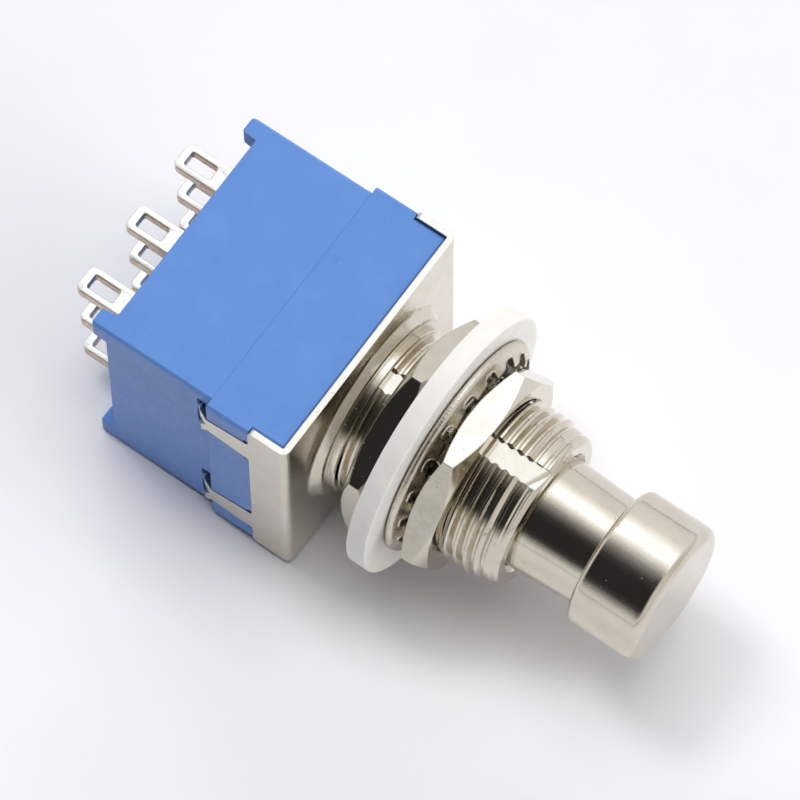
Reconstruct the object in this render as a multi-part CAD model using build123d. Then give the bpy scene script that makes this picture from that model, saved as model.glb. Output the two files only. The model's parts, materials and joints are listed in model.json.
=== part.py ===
from build123d import *
import math
import os

# Latching footswitch, three-pole double-throw, in millimetres.
# +Z is the plunger's axis, towards the button. Z = 0 is the front face of the bracket.
# The bracket's two flanges fold down over the sides at -X and +X.
# The three poles stand side by side along X. Each pole's three terminals stand in a row along Y.

# ---- moulded block
SIDE_MARGIN = 3.53
END_MARGIN = 3.96
BAND_LEDGE = 0.52
JOINT_Z = -6.2
FLOOR_OUTER_Z = -14.42
FLOOR_THICKNESS = 2.0
WALL_X = 1.5
WALL_Y = 1.3
COVER_ROOF = 1.2
COVER_HOLE_R = 4.4
EDGE_CHAMFER = 0.18
FOOT_X = 1.35
FOOT_Y = 1.7
FOOT_HEIGHT = 1.18
FOOT_TAPER = 0.12
FOOT_ROUND = 0.3
SPIGOT_HEIGHT = 1.0
SPIGOT_THICKNESS = 0.6
SPIGOT_END_GAP = 2.5
SPIGOT_GAP = 0.04
POCKET_DEPTH = 0.47
POCKET_GAP = 0.12

# ---- bracket: bent and embossed sheet steel, folded over the block
SHEET = 0.45
BRACKET_PROUD = 0.05
PLATE_OVERHANG_Y = 0.19
FLANGE_DEPTH = 2.95
BEND_OUTER_R = 0.55
BOSS_HEIGHT = 0.7
BOSS_LAND = 0.5
BOSS_SLOPE_REACH = 0.6
BOSS_WALL_SHIFT = 0.3
BOSS_ROUND = 0.28
FLANGE_CORNER_ROUND = 0.3
PLASTIC_SIDE_GAP = 0.04

# ---- prongs that hold the moulded block in the bracket
PRONG_ROOT_WIDTH = 2.2
PRONG_NECK_WIDTH = 1.6
PRONG_Y = 5.75
PRONG_REACH = 0.97
PRONG_SPREAD = 1.75
PRONG_TIP_BACK = 0.3
PRONG_TIP_FLAT = 0.42
PRONG_TIP_ROUND = 0.12
PRONG_NOTCH_DEPTH = 0.85
PRONG_BEND_START = 0.1
PRONG_BEND_IN = 0.4
PRONG_SIDE_GAP = 0.05

# ---- thread shared by the bushing and its two nuts
THREAD_R = 5.9
THREAD_PITCH = 0.75
THREAD_ENGAGED_SHARE = 0.3248
THREAD_PLAY = 0.02

# ---- bushing
COLLAR_PROUD = 0.2
COLLAR_TOP_Z = 1.25
FULL_THREAD_TOP_Z = 11.7
LEAD_DROP = 0.25
LEAD_Z = 12.2
END_DROP = 0.65
BUSHING_END_Z = 13.5
KEYWAY_WIDTH = 1.6
KEYWAY_DEPTH = 0.52
KEYWAY_ANGLE = -88.3
TAIL_R = 4.95
TAIL_HOLE_GAP = 0.03
TAIL_END_Z = -0.3
TAIL_ROLL = 0.85
RING_ROOM_R = 3.9
SPRING_SEAT_Z = 3.0
RING_SEAT_Z = 1.0
MOUTH_CHAMFER = 0.35

# ---- nuts and washers
NUT_WALL = 1.1
NUT_CHAMFER_DEG = 30
REAR_NUT_Z = (2.45, 4.45)
REAR_NUT_TURN = 29.7
FRONT_NUT_Z = (7.27, 9.23)
FRONT_NUT_TURN = -5.2
NUT_BORE_CHAMFER = 0.25
NYLON_R = 9.63
NYLON_TOP_Z = 5.95
NYLON_PLAY = 0.4
NYLON_ROUND = 0.1
WASHER_SLIP = 0.35
LOCK_PLAY = 0.45
LOCK_TOOTH_REACH = 0.7
LOCK_BAND_WIDTH = 0.85
LOCK_SHEET = 0.5
LOCK_TEETH = 18
LOCK_TOOTH_WIDTH = 1.5
LOCK_TWIST_DEG = 38
LOCK_EARLY_TWIST = 0.7
LOCK_ROOT_OVERLAP = 0.08
LOCK_NOTCH_R = 0.42

# ---- button: cap, neck and stem in one turned piece
CAP_R = 4.95
CAP_TOP_Z = 23.63
CAP_BOTTOM_Z = 18.45
CAP_FRONT_ROUND = 0.8
CAP_REAR_ROUND = 0.45
NECK_R = 4.1
NECK_TOP_R = 3.9
NECK_STRAIGHT_TOP_Z = 14.0
NECK_TOP_Z = 18.0
NECK_BOTTOM_Z = 9.5
RUNNING_FIT = 0.05
STEM_R = 2.55
STEM_END_Z = -0.9
RING_INNER_R = 2.12
RING_OUTER_R = 3.3
RING_THICKNESS = 0.5
RING_GAP_WIDTH = 1.7
RING_GROOVE_GAP = 0.02
RING_SEAT_GAP = 0.04

# ---- return spring around the stem
WIRE_SIDES = 8
SPRING_WIRE_R = 0.35
SPRING_MEAN_R = 3.35
SPRING_TURNS = 4.5
SPRING_END_GAP = 0.03

# ---- pusher, swinging on a cross pin in the stem's slot
SLOT_WIDTH = 1.4
PUSHER_WIDTH = 1.2
PUSHER_PIN_Z = 3.09
PUSHER_PIN_R = 0.6
PUSHER_PIN_HALF = 2.42
PIN_PRESS_GAP = 0.01
PUSHER_EYE_R = 1.3
PUSHER_SHANK_HALF = 0.72
PUSHER_REACH = 5.33
PUSHER_TIP_R = 0.6
PUSHER_SHOULDER_HALF = 1.0
SLOT_HEADROOM = 0.3

# ---- rocker on its trunnions
ROCKER_Z = JOINT_Z
ROCKER_TILT = 13.0
HUB_R = 1.9
HUB_SET_BACK = 0.3
SHOULDER_R = 1.6
SHOULDER_PLAY = 0.13
TRUNNION_R = 1.2
TRUNNION_LENGTH = 0.8
TRUNNION_END_GAP = 0.2
WING_HALF_X = 2.4
WING_REACH = 3.2
WING_TIP_HEIGHT = 1.9
WING_VALLEY_HEIGHT = 1.0
WING_ROOT_HALF = 1.6
WING_ROOT_DEPTH = 1.2
TOWER_R = 1.45
TOWER_DEPTH = 3.0

# ---- sprung contact pins in the rocker
POLE_PITCH = 5.3
PIN_R = 0.8
PIN_TIP_REACH = 4.3
PIN_HEEL = 1.3
PIN_NIPPLE_R = 0.33
PIN_NIPPLE_LENGTH = 0.5
PIN_BORE_TOP = 0.5
PIN_SPRING_WIRE_R = 0.1
PIN_SPRING_MEAN_R = 0.55
PIN_SPRING_TURNS = 4.5
PIN_SPRING_END_GAP = 0.02

# ---- terminals
ROW_PITCH = 4.7
LUG_WIDTH = 2.0
LUG_THICKNESS = 0.8
LUG_TIP_Z = -18.9
LUG_TIP_ROUND = 0.5
EYELET_WIDTH = 1.0
EYELET_LENGTH = 2.0
EYELET_FROM_TIP = 0.62
EYELET_ROUND = 0.12
LUG_SLOT_GAP = 0.02
CONTACT_Z = -11.0
HEAD_HALF = 1.5
SEAT_HALF = 1.0
HORN_HEIGHT = 0.9
THROW_FOOT_LENGTH = 2.0
THROW_FOOT_THICKNESS = 0.8
THROW_FOOT_WIDTH = 2.4
PAD_R = 0.9
PAD_CHAMFER = 0.12

# ---- see-saw contact blades
BLADE_SLOPE = 7.0
BLADE_THICKNESS = 0.4
BLADE_REACH = 6.1
BLADE_HALF_WIDTH = 1.3
BLADE_WAIST_HALF = 0.9
BLADE_WAIST_REACH = 0.7
BLADE_END_ROUND = 0.4
BLADE_BEAD_R = 0.3
BEAD_GAP = 0.02
CONTACT_GAP = 0.02

# ---- values that follow from the ones above
BLOCK_HALF_X = POLE_PITCH + SIDE_MARGIN
BLOCK_HALF_Y = ROW_PITCH + END_MARGIN
BAND_HALF_X = BLOCK_HALF_X + BAND_LEDGE
BRACKET_HALF_X = BAND_HALF_X + BRACKET_PROUD
BRACKET_HALF_Y = BLOCK_HALF_Y + PLATE_OVERHANG_Y
FLANGE_INNER_X = BRACKET_HALF_X - SHEET
PRONG_END_Z = JOINT_Z - PRONG_REACH
FRONT_HALF_X = FLANGE_INNER_X - PLASTIC_SIDE_GAP
BAND_STEP_Z = -FLANGE_DEPTH - PLASTIC_SIDE_GAP
FLOOR_INNER_Z = FLOOR_OUTER_Z + FLOOR_THICKNESS
CAVITY_HALF_X = BLOCK_HALF_X - WALL_X
CAVITY_HALF_Y = BLOCK_HALF_Y - WALL_Y
CAVITY_TOP_Z = -SHEET - COVER_ROOF
SPIGOT_HALF_X = BLOCK_HALF_X - SPIGOT_END_GAP
SHOULDER_HALF = CAVITY_HALF_X - SHOULDER_PLAY
HUB_HALF = SHOULDER_HALF - HUB_SET_BACK
TRUNNION_HALF = SHOULDER_HALF + TRUNNION_LENGTH
TRUNNION_POCKET_HALF = TRUNNION_HALF + TRUNNION_END_GAP
ENGAGED_R = THREAD_R - THREAD_ENGAGED_SHARE * THREAD_PITCH
COLLAR_R = THREAD_R + COLLAR_PROUD
KEYWAY_FLOOR_R = THREAD_R - KEYWAY_DEPTH
BOSS_TOP_R = COLLAR_R + BOSS_LAND
BOSS_FOOT_R = BOSS_TOP_R + BOSS_SLOPE_REACH
BOSS_INNER_Z = BOSS_HEIGHT - SHEET
TAIL_ROLL_R = TAIL_R + TAIL_ROLL
NUT_FLAT_R = THREAD_R + NUT_WALL
NYLON_BORE_R = THREAD_R + NYLON_PLAY
LOCK_BORE_R = THREAD_R + LOCK_PLAY
LOCK_BAND_R = LOCK_BORE_R + LOCK_TOOTH_REACH
LOCK_ROOT_R = LOCK_BAND_R - LOCK_NOTCH_R / 2
LOCK_OUTER_R = LOCK_BAND_R + LOCK_BAND_WIDTH
LOCK_BOTTOM_Z = NYLON_TOP_Z
BUSHING_BORE_R = NECK_R + RUNNING_FIT
STEM_HOLE_R = STEM_R + RUNNING_FIT
THREE_ABREAST = (-1, 0, 1)


def block(x0, x1, y0, y1, z0, z1):
    """A box between two corners."""
    centre = Pos((x0 + x1) / 2, (y0 + y1) / 2, (z0 + z1) / 2)
    return centre * Box(x1 - x0, y1 - y0, z1 - z0)


def disc(radius, z0, z1):
    """A cylinder about the plunger's axis."""
    return Pos(0, 0, (z0 + z1) / 2) * Cylinder(radius, z1 - z0)


def shaft_x(radius, x0, x1, y=0.0, z=0.0):
    """A cylinder that lies along X."""
    return Pos((x0 + x1) / 2, y, z) * Rot(0, 90, 0) * Cylinder(radius, x1 - x0)


def turned(half_profile):
    """A solid turned about Z from (radius, height) points."""
    return revolve(Plane.XZ * Polygon(*half_profile, align=None), Axis.Z)


def plate_yz(outline, x0, x1):
    """A plate cut to (y, z) points, between two values of X."""
    face = Plane.YZ * Polygon(*outline, align=None)
    return Pos(x0, 0, 0) * extrude(face, amount=x1 - x0, dir=(1, 0, 0))


def rims(solid, radius, z):
    """The circular edges of one radius at one height."""
    near = 1e-3
    circles = solid.edges().filter_by(GeomType.CIRCLE)
    return [e for e in circles if abs(e.radius - radius) < near and abs(e.arc_center.Z - z) < near]


def upright_edges(solid):
    return solid.edges().filter_by(Axis.Z)


def coil(mean_r, wire_r, z0, z1, turns):
    """A helical spring whose wire lies between two heights."""
    rise = z1 - z0 - 2 * wire_r
    path = Pos(0, 0, z0 + wire_r) * Helix(pitch=rise / turns, height=rise, radius=mean_r)
    section = Plane(path @ 0, z_dir=path % 0) * RegularPolygon(wire_r, WIRE_SIDES)
    return sweep(section, path=path, is_frenet=True)


# ---------------------------------------------------------------- bracket

def bracket_channel():
    """The plate and its two flanges, with the bends rounded inside and out."""
    outer = block(
        -BRACKET_HALF_X, BRACKET_HALF_X, -BRACKET_HALF_Y, BRACKET_HALF_Y, -FLANGE_DEPTH, 0
    )
    outer = fillet(outer.edges().filter_by(Axis.Y).group_by(Axis.Z)[-1], BEND_OUTER_R)
    inner = block(
        -FLANGE_INNER_X,
        FLANGE_INNER_X,
        -BRACKET_HALF_Y,
        BRACKET_HALF_Y,
        -2 * FLANGE_DEPTH,
        -SHEET,
    )
    inner = fillet(inner.edges().filter_by(Axis.Y).group_by(Axis.Z)[-1], BEND_OUTER_R - SHEET)
    return outer - inner


def boss_skin(shift, drop):
    """The round embossed boss as a cone, or its hollow when shifted inwards and dropped."""
    cone = turned(
        [
            (0, -drop),
            (BOSS_FOOT_R - shift, -drop),
            (BOSS_TOP_R - shift, BOSS_HEIGHT - drop),
            (0, BOSS_HEIGHT - drop),
        ]
    )
    return fillet(rims(cone, BOSS_TOP_R - shift, BOSS_HEIGHT - drop), BOSS_ROUND)


def prong_outline(gap=0.0):
    """One prong about its own centre line: a tapered strip whose slit end spreads into two tines."""
    root = PRONG_ROOT_WIDTH / 2 + gap
    neck = PRONG_NECK_WIDTH / 2 + gap
    side = [
        (root, -FLANGE_DEPTH + SHEET),
        (root, -FLANGE_DEPTH - 2 * FLANGE_CORNER_ROUND),
        (neck, JOINT_Z),
        (PRONG_SPREAD, PRONG_END_Z + PRONG_TIP_BACK),
        (PRONG_SPREAD - PRONG_TIP_FLAT, PRONG_END_Z),
    ]
    notch = (0, PRONG_END_Z + PRONG_NOTCH_DEPTH)
    return side + [notch] + [(-y, z) for y, z in reversed(side)]


def clinched_strip():
    """The side view of a prong at +X: straight over the band, then bent in behind it."""
    bend_z = JOINT_Z - PRONG_BEND_START
    middle_z = (bend_z + PRONG_END_Z) / 2
    profile = [
        (BRACKET_HALF_X, 0),
        (BRACKET_HALF_X, bend_z),
        (BRACKET_HALF_X - PRONG_BEND_IN / 4, middle_z),
        (BRACKET_HALF_X - PRONG_BEND_IN, PRONG_END_Z),
        (FLANGE_INNER_X - PRONG_BEND_IN, PRONG_END_Z),
        (FLANGE_INNER_X - PRONG_BEND_IN, PRONG_END_Z + PRONG_TIP_BACK),
        (FLANGE_INNER_X - PRONG_BEND_IN / 4, middle_z + PRONG_TIP_BACK / 2),
        (FLANGE_INNER_X, bend_z),
        (FLANGE_INNER_X, 0),
    ]
    return extrude(Plane.XZ * Polygon(*profile, align=None), amount=PRONG_SPREAD, both=True)


def prong():
    """A prong of the +X flange about its own centre line, its tips rounded."""
    blank = plate_yz(prong_outline(), 0, BRACKET_HALF_X)
    tips = blank.edges().filter_by(Axis.X).group_by(Axis.Z)
    blank = fillet(tips[0] + tips[1], PRONG_TIP_ROUND)
    return blank & clinched_strip()


def make_bracket():
    shape = bracket_channel() + boss_skin(0, 0) - boss_skin(BOSS_WALL_SHIFT, SHEET)
    shape = fillet(rims(shape, BOSS_FOOT_R, 0), BOSS_ROUND)
    shape -= disc(TAIL_R + TAIL_HOLE_GAP, -SHEET, BOSS_HEIGHT)
    blade = prong()
    for side_y in (-PRONG_Y, PRONG_Y):
        shape += Pos(0, side_y, 0) * blade
        shape += Pos(0, side_y, 0) * mirror(blade, Plane.YZ)
    corners = shape.edges().filter_by(Axis.X).filter_by_position(
        Axis.Z, -FLANGE_DEPTH, -FLANGE_DEPTH
    )
    return fillet(corners, FLANGE_CORNER_ROUND)


# ---------------------------------------------------------------- moulded block

def moulding(half_x, z0, z1):
    """A block of the housing with its upright edges broken."""
    solid = block(-half_x, half_x, -BLOCK_HALF_Y, BLOCK_HALF_Y, z0, z1)
    return chamfer(upright_edges(solid), EDGE_CHAMFER)


def bearing_pockets():
    """Both trunnion pockets, which the base and the cover share half and half."""
    return shaft_x(
        TRUNNION_R + RUNNING_FIT, -TRUNNION_POCKET_HALF, TRUNNION_POCKET_HALF, z=ROCKER_Z
    )


def spigots(gap):
    """The two tongues on the base's rim, or their grooves when given a gap."""
    inner = CAVITY_HALF_Y - gap
    outer = CAVITY_HALF_Y + SPIGOT_THICKNESS + gap
    half_x = SPIGOT_HALF_X + gap
    top = JOINT_Z + SPIGOT_HEIGHT + gap
    tongues = block(-half_x, half_x, inner, outer, JOINT_Z - SPIGOT_THICKNESS, top)
    return tongues + mirror(tongues, Plane.XZ)


def prong_grooves():
    """What the two prongs at +X need in the band, relieved beside their roots."""
    root_half = PRONG_ROOT_WIDTH / 2 + PRONG_SIDE_GAP
    relief_half = root_half + FLANGE_CORNER_ROUND
    relief_z = BAND_STEP_Z - FLANGE_CORNER_ROUND - PRONG_SIDE_GAP
    groove = plate_yz(prong_outline(PRONG_SIDE_GAP), FRONT_HALF_X, BRACKET_HALF_X)
    groove += block(FRONT_HALF_X, BRACKET_HALF_X, -relief_half, relief_half, relief_z, 0)
    return Pos(0, -PRONG_Y, 0) * groove + Pos(0, PRONG_Y, 0) * groove


def tip_pockets():
    """The recesses in the base that the bent tips of the prongs at +X drop into."""
    half = PRONG_SPREAD + POCKET_GAP
    pocket = block(
        BLOCK_HALF_X - POCKET_DEPTH,
        BLOCK_HALF_X,
        -half,
        half,
        PRONG_END_Z - POCKET_GAP,
        JOINT_Z,
    )
    return Pos(0, -PRONG_Y, 0) * pocket + Pos(0, PRONG_Y, 0) * pocket


def make_cover_frame():
    shape = moulding(BAND_HALF_X, JOINT_Z, BAND_STEP_Z)
    front = moulding(FRONT_HALF_X, BAND_STEP_Z - EDGE_CHAMFER, -SHEET)
    shape += chamfer(front.faces().sort_by(Axis.Z)[-1].edges(), EDGE_CHAMFER)
    shape -= block(
        -CAVITY_HALF_X, CAVITY_HALF_X, -CAVITY_HALF_Y, CAVITY_HALF_Y, JOINT_Z, CAVITY_TOP_Z
    )
    shape -= disc(COVER_HOLE_R, CAVITY_TOP_Z, 0)
    shape -= bearing_pockets() + spigots(SPIGOT_GAP)
    groove = prong_grooves()
    return shape - groove - mirror(groove, Plane.YZ)


def corner_foot():
    """The foot at the +X +Y corner, drawn in slightly towards its tip."""
    root_z = FLOOR_OUTER_Z + EDGE_CHAMFER
    tip_z = FLOOR_OUTER_Z - FOOT_HEIGHT
    x0 = BLOCK_HALF_X - FOOT_X
    y0 = BLOCK_HALF_Y - FOOT_Y

    def tapered(inner, outer):
        return [(inner, root_z), (outer, root_z), (outer, tip_z), (inner + FOOT_TAPER, tip_z)]

    along_y = plate_yz(tapered(y0, BLOCK_HALF_Y), x0, BLOCK_HALF_X)
    along_x = Rot(0, 0, -90) * plate_yz(tapered(x0, BLOCK_HALF_X), -BLOCK_HALF_Y, -y0)
    foot = along_y & along_x
    foot = chamfer(upright_edges(foot), EDGE_CHAMFER)
    return fillet(foot.edges().group_by(Axis.Z)[0], FOOT_ROUND)


def lug_slots():
    slot = block(
        -LUG_WIDTH / 2 - LUG_SLOT_GAP,
        LUG_WIDTH / 2 + LUG_SLOT_GAP,
        -LUG_THICKNESS / 2 - LUG_SLOT_GAP,
        LUG_THICKNESS / 2 + LUG_SLOT_GAP,
        FLOOR_OUTER_Z,
        FLOOR_INNER_Z,
    )
    return [
        Pos(pole * POLE_PITCH, row * ROW_PITCH, 0) * slot
        for pole in THREE_ABREAST
        for row in THREE_ABREAST
    ]


def make_base_housing():
    shape = moulding(BLOCK_HALF_X, FLOOR_OUTER_Z, JOINT_Z)
    shape -= block(
        -CAVITY_HALF_X, CAVITY_HALF_X, -CAVITY_HALF_Y, CAVITY_HALF_Y, FLOOR_INNER_Z, JOINT_Z
    )
    shape += spigots(0)
    pockets = tip_pockets()
    shape -= bearing_pockets() + pockets + mirror(pockets, Plane.YZ)
    foot = corner_foot()
    for turned_foot in (foot, mirror(foot, Plane.YZ)):
        shape += turned_foot
        shape += mirror(turned_foot, Plane.XZ)
    for slot in lug_slots():
        shape -= slot
    return shape


# ---------------------------------------------------------------- bushing, nuts, washers

def make_bushing():
    outside = [
        (RING_ROOM_R, TAIL_END_Z),
        (TAIL_ROLL_R, TAIL_END_Z),
        (TAIL_ROLL_R, BOSS_INNER_Z),
        (TAIL_R, BOSS_INNER_Z),
        (TAIL_R, BOSS_HEIGHT),
        (COLLAR_R, BOSS_HEIGHT),
        (COLLAR_R, COLLAR_TOP_Z),
        (THREAD_R, COLLAR_TOP_Z),
        (THREAD_R, REAR_NUT_Z[0]),
        (ENGAGED_R, REAR_NUT_Z[0]),
        (ENGAGED_R, REAR_NUT_Z[1]),
        (THREAD_R, REAR_NUT_Z[1]),
        (THREAD_R, FRONT_NUT_Z[0]),
        (ENGAGED_R, FRONT_NUT_Z[0]),
        (ENGAGED_R, FRONT_NUT_Z[1]),
        (THREAD_R, FRONT_NUT_Z[1]),
        (THREAD_R, FULL_THREAD_TOP_Z),
        (THREAD_R - LEAD_DROP, LEAD_Z),
        (THREAD_R - END_DROP, BUSHING_END_Z),
    ]
    inside = [
        (BUSHING_BORE_R + MOUTH_CHAMFER, BUSHING_END_Z),
        (BUSHING_BORE_R, BUSHING_END_Z - MOUTH_CHAMFER),
        (BUSHING_BORE_R, SPRING_SEAT_Z),
        (STEM_HOLE_R, SPRING_SEAT_Z),
        (STEM_HOLE_R, RING_SEAT_Z),
        (RING_ROOM_R, RING_SEAT_Z),
    ]
    shape = turned(outside + inside)
    shape = fillet(rims(shape, TAIL_ROLL_R, TAIL_END_Z), BOSS_ROUND)
    keyway = block(
        KEYWAY_FLOOR_R, COLLAR_R, -KEYWAY_WIDTH / 2, KEYWAY_WIDTH / 2, COLLAR_TOP_Z, BUSHING_END_Z
    )
    return shape - Rot(0, 0, KEYWAY_ANGLE) * keyway


def make_nut(z_range, turn):
    """A thin hexagon nut, its corners turned down at both ends and its thread opened."""
    bottom, top = z_range
    corner_r = NUT_FLAT_R / math.cos(math.pi / 6)
    hexagon = Pos(0, 0, bottom) * extrude(RegularPolygon(corner_r, 6), amount=top - bottom)
    chamfer_drop = (corner_r - NUT_FLAT_R) * math.tan(math.radians(NUT_CHAMFER_DEG))
    blank = turned(
        [
            (0, bottom),
            (NUT_FLAT_R, bottom),
            (corner_r, bottom + chamfer_drop),
            (corner_r, top - chamfer_drop),
            (NUT_FLAT_R, top),
            (0, top),
        ]
    )
    bore_r = ENGAGED_R + THREAD_PLAY
    bore = turned(
        [
            (0, bottom),
            (bore_r + NUT_BORE_CHAMFER, bottom),
            (bore_r, bottom + NUT_BORE_CHAMFER),
            (bore_r, top - NUT_BORE_CHAMFER),
            (bore_r + NUT_BORE_CHAMFER, top),
            (0, top),
        ]
    )
    return Rot(0, 0, turn) * hexagon & blank - bore


def make_nylon_washer():
    shape = disc(NYLON_R, REAR_NUT_Z[1], NYLON_TOP_Z) - disc(NYLON_BORE_R, REAR_NUT_Z[1], NYLON_TOP_Z)
    edges = rims(shape, NYLON_R, REAR_NUT_Z[1]) + rims(shape, NYLON_R, NYLON_TOP_Z)
    return Pos(-WASHER_SLIP, 0, 0) * fillet(edges, NYLON_ROUND)


def tooth_section(radius, twist):
    """A tooth's cross-section at one radius, turned about the radial line with its low edge kept down."""
    angle = math.radians(twist)
    reach = LOCK_TOOTH_WIDTH * math.sin(angle) + LOCK_SHEET * math.cos(angle)
    plane = Plane(origin=(radius, 0, LOCK_BOTTOM_Z + reach / 2), x_dir=(0, 1, 0), z_dir=(1, 0, 0))
    return plane * Rot(0, 0, twist) * Rectangle(LOCK_TOOTH_WIDTH, LOCK_SHEET)


def lock_tooth():
    """One tooth: a flat root in the ring, then a blade that twists as it runs inwards."""
    root_r = LOCK_ROOT_R - LOCK_ROOT_OVERLAP
    half = LOCK_TOOTH_WIDTH / 2
    root = block(root_r, LOCK_BAND_R, -half, half, LOCK_BOTTOM_Z, LOCK_BOTTOM_Z + LOCK_SHEET)
    sections = [
        tooth_section(root_r, 0),
        tooth_section((root_r + LOCK_BORE_R) / 2, LOCK_TWIST_DEG * LOCK_EARLY_TWIST),
        tooth_section(LOCK_BORE_R, LOCK_TWIST_DEG),
    ]
    return root + loft(sections, ruled=True)


def make_lock_washer():
    """A ring with rounded notches, whose teeth between them are twisted up until they bite the nut."""
    top = LOCK_BOTTOM_Z + LOCK_SHEET
    ring = disc(LOCK_OUTER_R, LOCK_BOTTOM_Z, top) - disc(LOCK_ROOT_R, LOCK_BOTTOM_Z, top)
    notch = Pos(LOCK_BAND_R, 0, 0) * disc(LOCK_NOTCH_R, LOCK_BOTTOM_Z, top)
    notch += block(LOCK_BORE_R, LOCK_BAND_R, -LOCK_NOTCH_R, LOCK_NOTCH_R, LOCK_BOTTOM_Z, top)
    tooth = lock_tooth()
    step = 360 / LOCK_TEETH
    ring -= [Rot(0, 0, step * (i + 0.5)) * notch for i in range(LOCK_TEETH)]
    ring += [Rot(0, 0, step * i) * tooth for i in range(LOCK_TEETH)]
    return Pos(-WASHER_SLIP, 0, 0) * ring


# ---------------------------------------------------------------- button and what rides on it

def make_button():
    profile = [
        (0, STEM_END_Z),
        (STEM_R, STEM_END_Z),
        (STEM_R, NECK_BOTTOM_Z),
        (NECK_R, NECK_BOTTOM_Z),
        (NECK_R, NECK_STRAIGHT_TOP_Z),
        (NECK_TOP_R, NECK_TOP_Z),
        (NECK_TOP_R, CAP_BOTTOM_Z),
        (CAP_R, CAP_BOTTOM_Z),
        (CAP_R, CAP_TOP_Z),
        (0, CAP_TOP_Z),
    ]
    shape = turned(profile)
    shape = fillet(rims(shape, CAP_R, CAP_TOP_Z), CAP_FRONT_ROUND)
    shape = fillet(rims(shape, CAP_R, CAP_BOTTOM_Z), CAP_REAR_ROUND)
    ring_top = RING_SEAT_Z - RING_SEAT_GAP
    groove_r = RING_INNER_R - RING_GROOVE_GAP
    groove = disc(STEM_R, ring_top - RING_THICKNESS, ring_top)
    shape -= groove - disc(groove_r, ring_top - RING_THICKNESS, ring_top)
    slot_top = PUSHER_PIN_Z + PUSHER_EYE_R + SLOT_HEADROOM
    shape -= block(-SLOT_WIDTH / 2, SLOT_WIDTH / 2, -STEM_R, STEM_R, STEM_END_Z, slot_top)
    return shape - shaft_x(PUSHER_PIN_R, -STEM_R, STEM_R, z=PUSHER_PIN_Z)


def make_retaining_ring():
    top = RING_SEAT_Z - RING_SEAT_GAP
    bottom = top - RING_THICKNESS
    ring = disc(RING_OUTER_R, bottom, top) - disc(RING_INNER_R, bottom, top)
    return ring - block(-RING_GAP_WIDTH / 2, RING_GAP_WIDTH / 2, 0, RING_OUTER_R, bottom, top)


def make_return_spring():
    return coil(
        SPRING_MEAN_R,
        SPRING_WIRE_R,
        SPRING_SEAT_Z + SPRING_END_GAP,
        NECK_BOTTOM_Z - SPRING_END_GAP,
        SPRING_TURNS,
    )


def make_pusher_pin():
    return shaft_x(PUSHER_PIN_R - PIN_PRESS_GAP, -PUSHER_PIN_HALF, PUSHER_PIN_HALF, z=PUSHER_PIN_Z)


def make_pusher():
    """A dart: an eye on the pin, a shank through the stem and a rounded nose."""
    half = PUSHER_WIDTH / 2
    nose_z = PUSHER_PIN_Z - PUSHER_REACH
    shoulder_z = nose_z + PUSHER_TIP_R
    shank = [
        (-PUSHER_SHANK_HALF, PUSHER_PIN_Z),
        (PUSHER_SHANK_HALF, PUSHER_PIN_Z),
        (PUSHER_SHANK_HALF, shoulder_z + PUSHER_SHOULDER_HALF),
        (PUSHER_SHOULDER_HALF, shoulder_z + PUSHER_TIP_R),
        (PUSHER_TIP_R, nose_z),
        (-PUSHER_TIP_R, nose_z),
        (-PUSHER_SHOULDER_HALF, shoulder_z + PUSHER_TIP_R),
        (-PUSHER_SHANK_HALF, shoulder_z + PUSHER_SHOULDER_HALF),
    ]
    shape = plate_yz(shank, -half, half)
    shape += shaft_x(PUSHER_EYE_R, -half, half, z=PUSHER_PIN_Z)
    shape += shaft_x(PUSHER_TIP_R, -half, half, z=nose_z)
    return shape - shaft_x(PUSHER_PIN_R + RUNNING_FIT - PIN_PRESS_GAP, -half, half, z=PUSHER_PIN_Z)


# ---------------------------------------------------------------- rocker and sprung pins

def on_rocker(shape):
    """Carries a shape drawn about the rocker's pivot to the tilt it latches at."""
    return Pos(0, 0, ROCKER_Z) * Rot(ROCKER_TILT, 0, 0) * shape


def make_rocker():
    shape = shaft_x(HUB_R, -HUB_HALF, HUB_HALF)
    shape += shaft_x(SHOULDER_R, -SHOULDER_HALF, SHOULDER_HALF)
    shape += shaft_x(TRUNNION_R, -TRUNNION_HALF, TRUNNION_HALF)
    wings = [
        (-WING_ROOT_HALF, -WING_ROOT_DEPTH),
        (WING_ROOT_HALF, -WING_ROOT_DEPTH),
        (WING_REACH, WING_VALLEY_HEIGHT),
        (WING_REACH, WING_TIP_HEIGHT),
        (0, WING_VALLEY_HEIGHT),
        (-WING_REACH, WING_TIP_HEIGHT),
        (-WING_REACH, WING_VALLEY_HEIGHT),
    ]
    clear_valley = plate_yz(
        [(0, WING_VALLEY_HEIGHT), (WING_REACH, WING_TIP_HEIGHT), (WING_REACH, 2 * WING_REACH),
         (-WING_REACH, 2 * WING_REACH), (-WING_REACH, WING_TIP_HEIGHT)],
        -WING_HALF_X,
        WING_HALF_X,
    )
    shape += plate_yz(wings, -WING_HALF_X, WING_HALF_X)
    shape -= clear_valley
    for pole in THREE_ABREAST:
        at_pole = Pos(pole * POLE_PITCH, 0, 0)
        shape += at_pole * disc(TOWER_R, -TOWER_DEPTH, 0)
    for pole in THREE_ABREAST:
        at_pole = Pos(pole * POLE_PITCH, 0, 0)
        shape -= at_pole * disc(PIN_R + RUNNING_FIT, -TOWER_DEPTH, PIN_BORE_TOP)
    return on_rocker(shape)


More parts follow.
